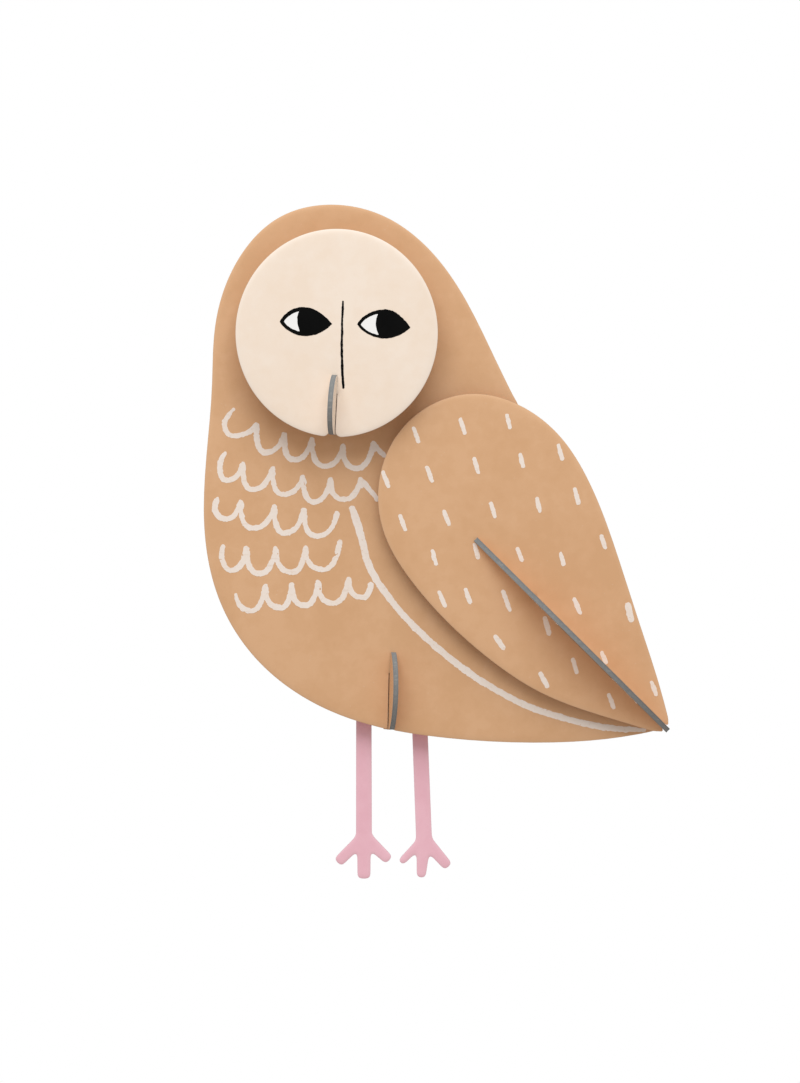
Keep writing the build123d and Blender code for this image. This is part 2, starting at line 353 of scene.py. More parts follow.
def closed_mesh(name, board, points, triangles, under, over, distance, wall=PLAIN_WALL):
    """A closed solid between two heights over flat triangles, with a knife-cut wall."""
    rim = rim_edges(triangles)
    count = len(points)
    inward = np.zeros((count, 2))
    for a, b in rim:
        run = points[b] - points[a]
        inward[[a, b]] += (-run[1], run[0])
    inward /= np.maximum(np.linalg.norm(inward, axis=1)[:, None], 1e-9)
    edge_points = sorted({i for e in rim for i in e})
    layers = [{i: count + i for i in edge_points}]
    flat, height, through = [points, points], [over, under], [np.ones(count), np.zeros(count)]
    gap = [distance, distance]
    for share, recess in wall[1:-1]:
        start = sum(map(len, flat))
        tear = soft_noise(points[edge_points] + share * 31, 0.9, 23) * WALL_TEAR
        depth = np.maximum(recess + tear, 0)[:, None]
        flat.append(points[edge_points] + inward[edge_points] * depth)
        height.append(under[edge_points] * (1 - share) + over[edge_points] * share)
        through.append(np.full(len(edge_points), share))
        gap.append(np.zeros(len(edge_points)))
        layers.append({i: start + k for k, i in enumerate(edge_points)})
    layers.append({i: i for i in edge_points})
    faces = [tuple(map(int, f)) for f in triangles]
    faces += [tuple(int(i) + count for i in f[::-1]) for f in triangles]
    for low, high in zip(layers, layers[1:]):
        faces += [(low[a], low[b], high[b], high[a]) for a, b in rim]
    mesh = bpy.data.meshes.new(name)
    place = board.place(np.concatenate(flat), np.concatenate(height))
    mesh.from_pydata(place.tolist(), [], faces)
    mesh.polygons.foreach_set("use_smooth", [True] * len(faces))
    mesh.set_sharp_from_angle(angle=math.radians(38))
    for label, values in (("cut_distance", gap), ("through", through)):
        layer = mesh.attributes.new(label, "FLOAT", "POINT")
        layer.data.foreach_set("value", np.concatenate(values).astype(np.float32))
    mesh.validate()
    piece = bpy.data.objects.new(name, mesh)
    bpy.context.scene.collection.objects.link(piece)
    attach(piece, frame["nodes"][board.core]["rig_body"])
    return piece


def dress_board(board, print_material):
    """Lays grey board and its two printed papers in place of the plain solids."""
    front, back = board.faces_at(board.points)
    sides = [s.split("_")[0] for s in board.sides]
    layers = (
        (f"{board.name}_grey_board", board.core, back + PAPER, front - PAPER, WALL_ROWS),
        (f"{board.name}_{sides[0]}_paper", board.front, front - PAPER, front, PLAIN_WALL),
        (f"{board.name}_{sides[1]}_paper", board.back, back, back + PAPER, PLAIN_WALL),
    )
    for name, node, under, over, wall in layers:
        piece = closed_mesh(
            name, board, board.points, board.triangles, under, over, board.cut_distance, wall
        )
        is_core = node == board.core
        piece.data.materials.append(grey_board if is_core else print_material)
        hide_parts(node)


# ------------------------------------------------------------------ the inks

INK_STEP = 0.14       # how finely an ink's edge is followed
INK_ABOVE = 0.045
INK_BELOW = 0.02
FAR_FROM_CUT = 9.0    # an ink has no cut edge of its own


class InkField:
    """A drawing on a board, kept as the distance outside its edge over a fine grid."""

    def __init__(self, low, high, margin=1.5):
        self.x = np.arange(low[0] - margin, high[0] + margin, INK_STEP)
        self.y = np.arange(low[1] - margin, high[1] + margin, INK_STEP)
        self.out = np.full((len(self.y), len(self.x)), 3.0)
        self.grid = np.stack(np.meshgrid(self.x, self.y), -1)

    def window(self, low, high, margin):
        cols = slice(*np.searchsorted(self.x, (low[0] - margin, high[0] + margin)))
        rows = slice(*np.searchsorted(self.y, (low[1] - margin, high[1] + margin)))
        return rows, cols

    def stroke(self, path, half_widths):
        for a, b, wa, wb in zip(path, path[1:], half_widths, half_widths[1:]):
            at = self.window(np.minimum(a, b), np.maximum(a, b), max(wa, wb) + 1)
            run = b - a
            t = np.clip(((self.grid[at] - a) * run).sum(2) / max(run @ run, 1e-12), 0, 1)
            gap = np.linalg.norm(self.grid[at] - a - t[..., None] * run, axis=2)
            self.out[at] = np.minimum(self.out[at], gap - (wa + (wb - wa) * t))

    def patch(self, outline):
        """Distance outside a closed outline, for use on its own or taken away from another."""
        far = distance_to_loops(self.grid.reshape(-1, 2), [outline]).reshape(self.out.shape)
        inside = np.zeros(self.out.shape, bool)
        for (x0, y0), (x1, y1) in zip(outline, np.roll(outline, -1, 0)):
            if y0 != y1:
                crosses = (self.grid[..., 1] > min(y0, y1)) & (self.grid[..., 1] <= max(y0, y1))
                inside ^= crosses & (
                    self.grid[..., 0] < x0 + (self.grid[..., 1] - y0) * (x1 - x0) / (y1 - y0)
                )
        return np.where(inside, -far, far)

    def roughen(self, ragged, bare, seed):
        """Ragged edges, and small bare spots where the ink missed the board's tooth."""
        edge = soft_noise(self.grid, 1.3, seed) * 0.5 + soft_noise(self.grid, 0.55, seed + 1) * 0.5
        self.out += edge * ragged
        if bare:
            tooth = soft_noise(self.grid, 0.6, seed + 2) * 0.6
            tooth += soft_noise(self.grid, 2.4, seed + 3) * 0.4
            self.out = np.maximum(self.out, (tooth - bare) * 0.8)

    def outlines(self):
        """Closed lines round the inked area, which lies on their left."""
        out = self.out
        ahead, place = {}, {}

        def crossing(r0, c0, r1, c1):
            key = (r0, c0, r1, c1) if (r0, c0) < (r1, c1) else (r1, c1, r0, c0)
            if key not in place:
                u, v = out[key[0], key[1]], out[key[2], key[3]]
                t = min(max(u / (u - v), 0.04), 0.96)
                a = np.array([self.x[key[1]], self.y[key[0]]])
                b = np.array([self.x[key[3]], self.y[key[2]]])
                place[key] = a + (b - a) * t
            return key

        wet = out < 0
        count = wet[:-1, :-1].astype(int) + wet[1:, :-1] + wet[:-1, 1:] + wet[1:, 1:]
        for r, c in zip(*np.nonzero((count > 0) & (count < 4))):
            ring = ((r, c), (r, c + 1), (r + 1, c + 1), (r + 1, c))
            leaves, enters = [], []
            for k in range(4):
                (r0, c0), (r1, c1) = ring[k], ring[(k + 1) % 4]
                if wet[r0, c0] and not wet[r1, c1]:
                    leaves.append(crossing(r0, c0, r1, c1))
                elif wet[r1, c1] and not wet[r0, c0]:
                    enters.append((k, crossing(r0, c0, r1, c1)))
            if len(leaves) == 1:
                ahead[leaves[0]] = enters[0][1]
            else:  # two opposite wet corners stay apart
                for leave in leaves:
                    corner = ring.index(leave[:2]) if wet[leave[:2]] else ring.index(leave[2:])
                    into = next(key for k, key in enters if ring[(k + 1) % 4] == ring[corner])
                    ahead[leave] = into
        loops = []
        while ahead:
            first, here = next(iter(ahead.items()))
            del ahead[first]
            loop = [first]
            while here != first:
                loop.append(here)
                here = ahead.pop(here)
            if len(loop) > 7:
                loops.append(np.array([place[k] for k in loop]))
        return loops


def lay_ink(name, board, fields, material):
    """A thin closed film of ink on the board's front, one solid for all the fields."""
    points, triangles, start = [], [], 0
    for field in fields:
        inner = field.grid[::4, ::4][field.out[::4, ::4] < -0.15]
        some_points, some_triangles = fill(field.outlines(), inner)
        points.append(some_points)
        triangles.append(some_triangles + start)
        start += len(some_points)
    points, triangles = np.concatenate(points), np.concatenate(triangles)
    front, _ = board.faces_at(points)
    piece = closed_mesh(
        name, board, points, triangles, front - INK_BELOW, front + INK_ABOVE,
        np.full(len(points), FAR_FROM_CUT),
    )
    piece.data.materials.append(material)
    return piece


def bezier(a, b, c, d, steps=14):
    t = np.linspace(0, 1, steps)[:, None]
    return a * (1 - t)**3 + 3 * b * t * (1 - t)**2 + 3 * c * t**2 * (1 - t) + d * t**3


def through_points(points, steps=12):
    """A smooth open line through points."""
    points = np.asarray(points, float)
    padded = np.vstack([2 * points[0] - points[1], points, 2 * points[-1] - points[-2]])
    made = []
    for i in range(1, len(padded) - 2):
        a, b, c, d = padded[i - 1:i + 3]
        for t in np.arange(steps) / steps:
            made.append(0.5 * (2 * b + (c - a) * t + (2 * a - 5 * b + 4 * c - d) * t**2
                               + (3 * b - a - 3 * c + d) * t**3))
    return np.vstack([made, points[-1]])


# Breast feathers: each row's pen start, the turn of its first hook, then each
# hollow and each point in turn, right and down from the body's top left corner.
BREAST_ROWS = (
    ((10.2, 69.8), (7.1, 75.1), (10.2, 78.8), (17.8, 74.9), (20.9, 84.5), (27.4, 78.5),
     (30.8, 87.0), (36.8, 80.2), (41.4, 89.2), (47.4, 82.5), (52.0, 89.9), (57.8, 81.4),
     (61.4, 85.5)),
    ((7.2, 84.7), (5.5, 89.5), (8.0, 94.0), (13.2, 88.4), (16.6, 97.1), (23.4, 90.0),
     (26.9, 98.8), (33.8, 92.9), (37.6, 101.3), (43.2, 94.0), (47.9, 100.5), (53.5, 93.7),
     (59.1, 100.2)),
    ((4.7, 100.1), (3.8, 103.5), (7.5, 107.2), (12.5, 101.3), (16.7, 110.3), (24.0, 103.2),
     (27.4, 111.9), (34.1, 104.4), (38.7, 113.0), (45.4, 105.5)),
    ((6.7, 116.2), (6.1, 119.9), (9.5, 124.7), (14.6, 117.3), (19.1, 125.8), (24.5, 117.3),
     (30.3, 125.3), (34.7, 117.1), (40.9, 124.4), (46.4, 115.1)),
    ((11.0, 132.9), None, (16.2, 138.5), (20.9, 130.1), (26.5, 137.4), (30.0, 129.8),
     (34.8, 136.6), (39.0, 128.9), (44.3, 135.9), (49.3, 127.8), (54.3, 133.9), (56.9, 129.5)),
)
BREAST_LINE = 0.93    # half the pen's width
WING_LINE = (
    (50.7, 103.7), (53.3, 111.9), (56.7, 123.8), (64.0, 135.1), (75.1, 147.1), (88.9, 158.5),
    (100.2, 165.7), (111.5, 171.4), (125.2, 175.7), (137.4, 178.3), (150.3, 179.1),
)
WING_LINE_HALF = 1.12  # half the brush's width
# Wing flecks: middle right and down from the wing's top left corner, lean, length, width.
WING_FLECKS = (
    (12.9, 13.9, 20, 6.2, 1.5), (28.8, 11.0, 17, 6.3, 1.5), (44.4, 9.4, 14, 5.5, 1.5),
    (62.0, 19.8, 16, 6.2, 1.5), (48.9, 22.7, 13, 5.6, 1.5), (33.4, 24.4, 16, 6.3, 1.5),
    (17.5, 27.3, 20, 6.3, 1.5), (2.6, 29.0, 20, 6.5, 1.5), (67.6, 34.8, 16, 6.3, 1.5),
    (54.6, 37.8, 13, 5.7, 1.5), (39.1, 39.5, 16, 6.1, 1.5), (23.3, 42.2, 20, 6.1, 1.5),
    (8.4, 43.9, 20, 6.4, 1.5), (76.7, 50.4, 20, 5.5, 1.5), (62.7, 56.2, 15, 5.0, 1.5),
    (48.2, 54.7, 22, 5.4, 1.5), (33.4, 53.5, 15, 6.0, 1.5), (19.1, 55.7, 16, 5.9, 1.5),
    (85.6, 74.4, 13, 7.2, 2.3), (67.8, 72.2, 22, 6.5, 1.7), (43.7, 70.4, 20, 8.0, 1.5),
    (30.6, 68.8, 19, 5.9, 1.5), (21.8, 69.8, 24, 6.5, 1.5), (57.5, 79.0, 15, 7.0, 1.8),
    (41.3, 84.5, 35, 6.3, 1.8), (76.9, 89.8, 22, 5.0, 1.5), (67.0, 92.6, 16, 6.0, 1.5),
    (56.5, 97.4, 29, 6.3, 1.7), (93.9, 100.2, 20, 5.9, 1.5), (79.4, 104.6, 20, 5.9, 1.5),
)
# Eyes and nose, right and up from the middle of the face.
LEFT_EYE = ((-19.4, 3.8), (-11.3, 8.8), (-1.5, 3.0), (-10.4, -1.1))
LEFT_WHITE = ((-17.9, 3.8), (-12.8, 7.35), (-13.4, 4.4), (-12.5, 0.5))
RIGHT_EYE = ((6.9, 2.9), (16.6, 8.0), (25.1, 1.8), (16.6, -1.9))
RIGHT_WHITE = ((8.2, 2.8), (14.1, 6.45), (13.3, 3.2), (14.3, -0.7))
NOSE_LINE = ((2.1, 10.7), (1.9, 4.8), (1.75, -4.0), (1.95, -12.8), (2.3, -18.6))


def scallops(row):
    """The pen's path along one row of breast feathers, y down as the row is given."""
    start, hook, *rest = [None if p is None else np.array(p, float) for p in row]
    path = []
    if hook is not None:
        dip = rest[0]
        path.append(bezier(start, start + (0.5, 0.25) * (hook - start), hook - (0, 1.9), hook))
        path.append(bezier(hook, hook + (0, 2.0), dip - (1.9, 0), dip))
    else:
        dip = rest[0]
        path.append(bezier(start, start + (0.1, 3.6), dip - (2.6, 0), dip))
    for dip, tip, after in zip(rest[0::2], rest[1::2], [*rest[2::2], None]):
        rise = tip - dip
        path.append(bezier(dip, dip + (0.55 * rise[0], 0), tip - (0.16, 0.55) * rise, tip))
        if after is rest[-1]:  # the pen runs on, straight, under the wing
            path.append(np.linspace(tip, after, 14))
        elif after is not None:
            fall = after - tip
            path.append(bezier(tip, tip + (0.02, 0.62) * fall, after - (0.72 * fall[0], 0), after))
    return np.concatenate(path)


def draw_breast(board):
    fields = []
    for number, row in enumerate(BREAST_ROWS):
        path = np.array([board.corner(*p) for p in scallops(row)])
        along = np.linspace(0, 1, len(path))
        half = BREAST_LINE * (1 + 0.12 * soft_noise(path, 4.0, 40 + number))
        half *= 0.55 + 0.45 * np.clip(along * 24, 0, 1)
        field = InkField(path.min(0), path.max(0))
        field.stroke(path, half)
        for tip in row[3:-1:2]:  # the pen rests at each point, which comes out blunt
            blunt = board.corner(*tip) - (0, 0.5)
            field.stroke([blunt, blunt - (0, 1.3)], [BREAST_LINE * 1.12, BREAST_LINE * 1.3])
        field.roughen(0.28, 0.78, 50 + 5 * number)
        fields.append(field)
    return lay_ink("breast_feather_ink", board, fields, white_ink)


def draw_wing_line(board):
    path = through_points([board.corner(*p) for p in WING_LINE])
    along = np.linspace(0, 1, len(path))
    half = WING_LINE_HALF * (1 + 0.08 * soft_noise(path, 6.0, 71))
    half *= np.interp(along, (0, 0.02, 0.2, 0.95, 1), (1.05, 1.18, 1.04, 0.95, 0.6))
    field = InkField(path.min(0), path.max(0))
    field.stroke(path, half)
    field.roughen(0.28, 0.8, 75)
    return lay_ink("wing_line_ink", board, [field], white_ink)


def draw_wing_flecks(board):
    field = InkField(*board.loops_box())
    for right, down, lean, length, width in WING_FLECKS:
        middle, half = board.corner(right, down), width / 2
        along = np.array([-math.sin(math.radians(lean)), math.cos(math.radians(lean))])
        reach = along * (length / 2 - half)
        path = [middle + reach, middle, middle - reach]
        field.stroke(path, [half * 0.9, half * 1.04, half * 0.9])
    field.roughen(0.22, 0.85, 83)
    return lay_ink("wing_fleck_ink", board, [field], white_ink)


def almond(corners, middle, lid=0.42):
    """A closed eye shape through its left, top, right and bottom points."""
    left, top, right, bottom = (middle + np.array(p) for p in corners)
    reach = lambda a, b: np.array([lid * (b - a)[0], 0])
    parts = (
        bezier(left, left + (0.18, 0.62) * (top - left), top - reach(left, top), top, 24),
        bezier(top, top + reach(top, right), right - (0.2, 0.42) * (right - top), right, 24),
        bezier(right, right + (0.24, 0.5) * (bottom - right), bottom - reach(right, bottom),
               bottom, 24),
        bezier(bottom, bottom + reach(bottom, left), left - (0.24, 0.62) * (left - bottom),
               left, 24),
    )
    return np.concatenate([p[:-1] for p in parts])


def eye_white(corners, middle):
    tip, top, side, bottom = (middle + np.array(p) for p in corners)
    bulge, drop = 4 / 3 * (side - (top + bottom) / 2)[0], (bottom - top)[1]
    parts = (
        bezier(tip, tip + (0.2, 0.55) * (top - tip), top - (0.35, 0.12) * (top - tip), top, 20),
        bezier(top, top + (bulge, 0.33 * drop), bottom + (bulge, -0.33 * drop), bottom, 28),
        bezier(bottom, bottom + (0.35, 0.1) * (tip - bottom), tip - (0.22, 0.55) * (tip - bottom),
               tip, 20),
    )
    return np.concatenate([p[:-1] for p in parts])


def draw_face(board):
    low, high = board.loops_box()
    middle = (low + high) / 2
    blacks, whites = [], []
    for number, (eye, white) in enumerate(((LEFT_EYE, LEFT_WHITE), (RIGHT_EYE, RIGHT_WHITE))):
        outline, inner = almond(eye, middle), eye_white(white, middle)
        black = InkField(outline.min(0), outline.max(0))
        black.out = black.patch(outline)
        black.roughen(0.12, None, 90 + 7 * number)
        ivory = InkField(inner.min(0), inner.max(0))
        ivory.out = ivory.patch(inner)
        ivory.roughen(0.1, None, 93 + 7 * number)
        around = black.patch(inner)  # the ivory fills the same ragged gap that the black leaves
        around += soft_noise(black.grid, 1.3, 93 + 7 * number) * 0.05
        around += soft_noise(black.grid, 0.55, 94 + 7 * number) * 0.05
        black.out = np.maximum(black.out, -around)
        blacks.append(black)
        whites.append(ivory)
    path = through_points([middle + p for p in NOSE_LINE])
    along = np.linspace(0, 1, len(path))
    path[:, 0] += soft_noise(path, 5.0, 97) * 0.06
    nose = InkField(path.min(0), path.max(0))
    nose.stroke(path, np.interp(along, (0, 0.1, 0.5, 0.85, 1), (0.3, 0.38, 0.42, 0.42, 0.42)))
    nose.roughen(0.12, None, 98)
    lay_ink("eye_and_nose_ink", board, [*blacks, nose], black_ink)
    lay_ink("eye_white_ink", board, whites, eye_white_ink)


# ------------------------------------------------------------- the finishes


def add(tree, kind, inputs=None, **settings):
    """A shader node with its settings, and with values or other sockets on its inputs."""
    made = tree.nodes.new(kind)
    for name, value in settings.items():
        setattr(made, name, value)
    for key, value in (inputs or {}).items():
        if isinstance(value, bpy.types.NodeSocket):
            tree.links.new(value, made.inputs[key])
        else:
            made.inputs[key].default_value = value
    return made


def math_node(tree, operation, a, b=0.0, clamp=False):
    inputs = {0: a, 1: b}
    return add(tree, "ShaderNodeMath", inputs, operation=operation, use_clamp=clamp).outputs[0]


def mix_colour(tree, share, a, b):
    return add(tree, "ShaderNodeMix", {0: share, 6: a, 7: b}, data_type="RGBA").outputs[2]


def ramp(tree, value, low, high, to_low=0.0, to_high=1.0):
    inputs = {
        "Value": value, "From Min": low, "From Max": high, "To Min": to_low, "To Max": to_high,
    }
    return add(tree, "ShaderNodeMapRange", inputs, interpolation_type="SMOOTHSTEP").outputs[0]


EVEN = (1.0, 1.0, 1.0)  # grain that runs in no direction


def grain(tree, where, stretch, scale, detail, rough=0.55):
    """Noise over the object, drawn out along its axes."""
    mapped = add(tree, "ShaderNodeMapping", {"Vector": where, "Scale": stretch}).outputs[0]
    inputs = {"Vector": mapped, "Scale": scale, "Detail": detail, "Roughness": rough}
    return add(tree, "ShaderNodeTexNoise", inputs).outputs[0]


def effect(name, inputs, outputs):
    group = bpy.data.node_groups.new(name, "ShaderNodeTree")
    for label, kind, value in inputs:
        socket = group.interface.new_socket(label, in_out="INPUT", socket_type=kind)
        if value is not None:
            socket.default_value = value
    for label, kind in outputs:
        group.interface.new_socket(label, in_out="OUTPUT", socket_type=kind)
    given = group.nodes.new("NodeGroupInput").outputs
    return group, given, group.nodes.new("NodeGroupOutput").inputs


def make_paper_fibre():
    """Pressed fibres: their relief, and how strongly a stray fibre shows."""
    group, given, gives = effect(
        "paper_fibre",
        (("Coarseness", "NodeSocketFloat", 1.0),),
        (("Relief", "NodeSocketFloat"), ("Stray fibre", "NodeSocketFloat")),
    )
    where = add(group, "ShaderNodeTexCoord").outputs["Object"]
    size = given["Coarseness"]
    lying = grain(group, where, (0.22, 0.22, 1.0), math_node(group, "MULTIPLY", size, 2300.0), 3.0)
    standing = grain(group, where, (1.0, 1.0, 0.2), math_node(group, "MULTIPLY", size, 2100.0), 3.0)
    tooth = grain(group, where, EVEN, math_node(group, "MULTIPLY", size, 1300.0), 4.0, 0.65)
    woven = math_node(group, "MULTIPLY", math_node(group, "ADD", lying, standing), 0.3)
    relief = math_node(group, "ADD", woven, math_node(group, "MULTIPLY", tooth, 0.4))
    long_scale = math_node(group, "MULTIPLY", size, 1500.0)
    long_ones = grain(group, where, (0.12, 0.5, 1.0), long_scale, 1.0)
    upright_ones = math_node(group, "MULTIPLY", standing, 0.93)
    stray = ramp(group, math_node(group, "MAXIMUM", long_ones, upright_ones), 0.63, 0.74)
    group.links.new(relief, gives["Relief"])
    group.links.new(stray, gives["Stray fibre"])
    return group


def make_ink_mottle():
    """How thickly the ink lies: broad soft blotches, finer clouding, and pinholes."""
    group, given, gives = effect(
        "ink_mottle",
        (("Blotch", "NodeSocketFloat", 48.0), ("Clouding", "NodeSocketFloat", 240.0)),
        (("Thickness", "NodeSocketFloat"), ("Pinhole", "NodeSocketFloat")),
    )
    where = add(group, "ShaderNodeTexCoord").outputs["Object"]
    broad = grain(group, where, (1.0, 1.0, 0.8), given["Blotch"], 3.0)
    cloud = grain(group, where, EVEN, given["Clouding"], 4.0, 0.6)
    broad = math_node(group, "MULTIPLY", broad, 0.6)
    both = math_node(group, "ADD", broad, math_node(group, "MULTIPLY", cloud, 0.4))
    inputs = {"Vector": where, "Scale": 620.0, "Randomness": 1.0}
    spots = add(group, "ShaderNodeTexVoronoi", inputs).outputs["Distance"]
    few = ramp(group, grain(group, where, EVEN, 170.0, 1.0), 0.6, 0.68)
    pinhole = math_node(group, "MULTIPLY", ramp(group, spots, 0.16, 0.07), few)
    group.links.new(ramp(group, both, 0.36, 0.64), gives["Thickness"])
    group.links.new(pinhole, gives["Pinhole"])
    return group


def make_rolled_edge():
    """Where the knife rolled the paper over: a paler rim, partly wear and partly painted highlight
    of the rolled edge, and nicks right at the cut.
    """
    group, given, gives = effect(
        "rolled_edge",
        (("Width", "NodeSocketFloat", 1.6), ("Breakup", "NodeSocketFloat", 0.5)),
        (("Highlight_and_wear_rim", "NodeSocketFloat"), ("Nick", "NodeSocketFloat")),
    )
    where = add(group, "ShaderNodeTexCoord").outputs["Object"]
    gap = add(group, "ShaderNodeAttribute", attribute_name="cut_distance").outputs["Fac"]
    drift = math_node(group, "SUBTRACT", grain(group, where, EVEN, 420.0, 3.0), 0.5)
    drift = math_node(group, "MULTIPLY", drift, given["Breakup"])
    drift = math_node(group, "MULTIPLY", drift, given["Width"])
    moved = math_node(group, "DIVIDE", math_node(group, "ADD", gap, drift), given["Width"])
    crumbs = math_node(group, "MULTIPLY", grain(group, where, EVEN, 1500.0, 2.0), 1.4)
    sharp = math_node(group, "ADD", math_node(group, "MULTIPLY", gap, 3.2), crumbs)
    # the paler rim: partly edge wear, partly painted highlight of the rolled edge
    group.links.new(ramp(group, moved, 1.0, 0.15), gives["Highlight_and_wear_rim"])
    group.links.new(ramp(group, sharp, 0.78, 0.5), gives["Nick"])
    return group


def place_group(tree, group, **values):
    made = tree.nodes.new("ShaderNodeGroup")
    made.node_tree = group
    for label, value in values.items():
        made.inputs[label.replace("_", " ").capitalize()].default_value = value
    return made.outputs


def new_finish(name, **settings):
    """A material with a principled shader, and its plain values on the shader itself."""
    material = bpy.data.materials.new(name)
    material.use_nodes = True
    shader = material.node_tree.nodes["Principled BSDF"]
    for label, value in settings.items():
        shader.inputs[label.replace("_", " ")].default_value = value
    return material, material.node_tree, shader


def rgb(*parts):
    return (*parts, 1.0)


def relief(tree, shader, height, depth):
    """Bump from a height of 0 to 1, `depth` in millimetres."""
    made = add(tree, "ShaderNodeBump", {"Height": height, "Strength": 1.0, "Distance": depth * MM})
    tree.links.new(made.outputs[0], shader.inputs["Normal"])


CUT_WIDTH = 0.03      # nearer to the cut than this, the paper shows its own grey edge
CUT_PAPER = rgb(0.2, 0.205, 0.208)


def make_print(name, ink, thin_ink, thick_ink, rim, highlight_and_wear_share, bare):
    """Ink printed on smooth paper, rolled over at the cut with a paler rim that is partly wear and
    partly painted highlight, the cut itself bare grey.
    """
    material, tree, shader = new_finish(name, Specular_IOR_Level=0.15)
    fibre = place_group(tree, paper_fibre, coarseness=1.0)
    mottle = place_group(tree, ink_mottle)
    edge = place_group(tree, rolled_edge)
    thickness = mottle["Thickness"]
    colour = mix_colour(tree, ramp(tree, thickness, 0.0, 0.5), thin_ink, ink)
    colour = mix_colour(tree, ramp(tree, thickness, 0.5, 1.0), colour, thick_ink)
    stray = math_node(tree, "MULTIPLY", fibre["Stray fibre"], 0.16)
    colour = mix_colour(tree, stray, colour, thick_ink)
    colour = mix_colour(tree, math_node(tree, "MULTIPLY", mottle["Pinhole"], 0.35), colour, bare)
    # painted highlight: the paler rim along every cut, partly wear and partly the light a rolled
    # edge catches
    colour = mix_colour(tree, math_node(tree, "MULTIPLY", edge["Highlight_and_wear_rim"], highlight_and_wear_share), colour, rim)
    colour = mix_colour(tree, math_node(tree, "MULTIPLY", edge["Nick"], 0.55), colour, bare)
    gap = add(tree, "ShaderNodeAttribute", attribute_name="cut_distance").outputs["Fac"]
    colour = mix_colour(tree, ramp(tree, gap, CUT_WIDTH, 0.0), colour, CUT_PAPER)
    tree.links.new(colour, shader.inputs["Base Color"])
    rough = ramp(tree, math_node(tree, "ADD", fibre["Relief"], edge["Highlight_and_wear_rim"]), 0.2, 1.4, 0.56, 0.76)
    tree.links.new(rough, shader.inputs["Roughness"])
    nicks = math_node(tree, "MULTIPLY", edge["Nick"], 0.4)
    height = math_node(tree, "SUBTRACT", fibre["Relief"], nicks)
    relief(tree, shader, height, 0.016)
    return material


def make_grey_board():
    """Knife-cut grey board: pressed plies, torn fibres, darker where it meets the paper."""
    material, tree, shader = new_finish("grey_board", Specular_IOR_Level=0.2)
    where = add(tree, "ShaderNodeTexCoord").outputs["Object"]
    through = add(tree, "ShaderNodeAttribute", attribute_name="through").outputs["Fac"]
    fibre = place_group(tree, paper_fibre, coarseness=0.8)
    drift = math_node(tree, "MULTIPLY", grain(tree, where, EVEN, 230.0, 3.0), 2.6)
    plies = math_node(tree, "ADD", math_node(tree, "MULTIPLY", through, 29.0), drift)
    plies = ramp(tree, math_node(tree, "SINE", plies), -1.0, 1.0)
    from_face = math_node(tree, "ABSOLUTE", math_node(tree, "SUBTRACT", through, 0.5))
    skin = ramp(tree, from_face, 0.28, 0.5)
    fluff = grain(tree, where, EVEN, 950.0, 4.0, 0.7)
    colour = mix_colour(tree, plies, rgb(0.19, 0.195, 0.196), rgb(0.232, 0.234, 0.23))
    colour = mix_colour(tree, ramp(tree, fluff, 0.35, 0.7), colour, rgb(0.265, 0.264, 0.255))
    stray = math_node(tree, "MULTIPLY", fibre["Stray fibre"], 0.5)
    colour = mix_colour(tree, stray, colour, rgb(0.36, 0.35, 0.33))
    skin = math_node(tree, "MULTIPLY", skin, 0.6)
    colour = mix_colour(tree, skin, colour, rgb(0.168, 0.185, 0.198))
    tree.links.new(colour, shader.inputs["Base Color"])
    tree.links.new(ramp(tree, fluff, 0.3, 0.7, 0.8, 0.95), shader.inputs["Roughness"])
    plies = math_node(tree, "MULTIPLY", plies, 0.45)
    height = math_node(tree, "ADD", plies, math_node(tree, "MULTIPLY", fluff, 0.9))
    relief(tree, shader, math_node(tree, "ADD", height, fibre["Relief"]), 0.05)
    return material


def make_white_ink():
    """Chalky white, thin over the board's tooth so that the tan shows through a little."""
    material, tree, shader = new_finish("chalky_white_ink", Specular_IOR_Level=0.2)
    where = add(tree, "ShaderNodeTexCoord").outputs["Object"]
    fibre = place_group(tree, paper_fibre, coarseness=0.7)
    mottle = place_group(tree, ink_mottle, blotch=90.0, clouding=700.0)
    drag = grain(tree, where, EVEN, 1100.0, 4.0, 0.7)
    thin, thick = rgb(0.860, 0.750, 0.665), rgb(0.875, 0.780, 0.710)
    colour = mix_colour(tree, mottle["Thickness"], thin, thick)
    scratch = math_node(tree, "MULTIPLY", ramp(tree, drag, 0.56, 0.72), 0.5)
    colour = mix_colour(tree, scratch, colour, rgb(0.70, 0.50, 0.35))
    stray = math_node(tree, "MULTIPLY", fibre["Stray fibre"], 0.25)
    colour = mix_colour(tree, stray, colour, rgb(0.68, 0.50, 0.37))
    tree.links.new(colour, shader.inputs["Base Color"])
    tree.links.new(ramp(tree, drag, 0.3, 0.7, 0.9, 0.74), shader.inputs["Roughness"])
    relief(tree, shader, math_node(tree, "ADD", drag, fibre["Relief"]), 0.03)
    return material


def make_line_ink(name, ink, thin_ink, roughness, shine):
    """Brushed ink of the face, with a faint drag of the brush."""
    material, tree, shader = new_finish(name, Specular_IOR_Level=shine)
    where = add(tree, "ShaderNodeTexCoord").outputs["Object"]
    fibre = place_group(tree, paper_fibre, coarseness=1.0)
    mottle = place_group(tree, ink_mottle, blotch=160.0, clouding=900.0)
    drag = grain(tree, where, (0.25, 1.0, 1.6), 1400.0, 3.0)
    share = math_node(tree, "ADD", mottle["Thickness"], ramp(tree, drag, 0.45, 0.75))
    share = math_node(tree, "MULTIPLY", share, 0.5)
    tree.links.new(mix_colour(tree, share, ink, thin_ink), shader.inputs["Base Color"])
    rough = ramp(tree, drag, 0.3, 0.7, roughness, roughness + 0.14)
    tree.links.new(rough, shader.inputs["Roughness"])
    relief(tree, shader, math_node(tree, "ADD", drag, fibre["Relief"]), 0.014)
    return material


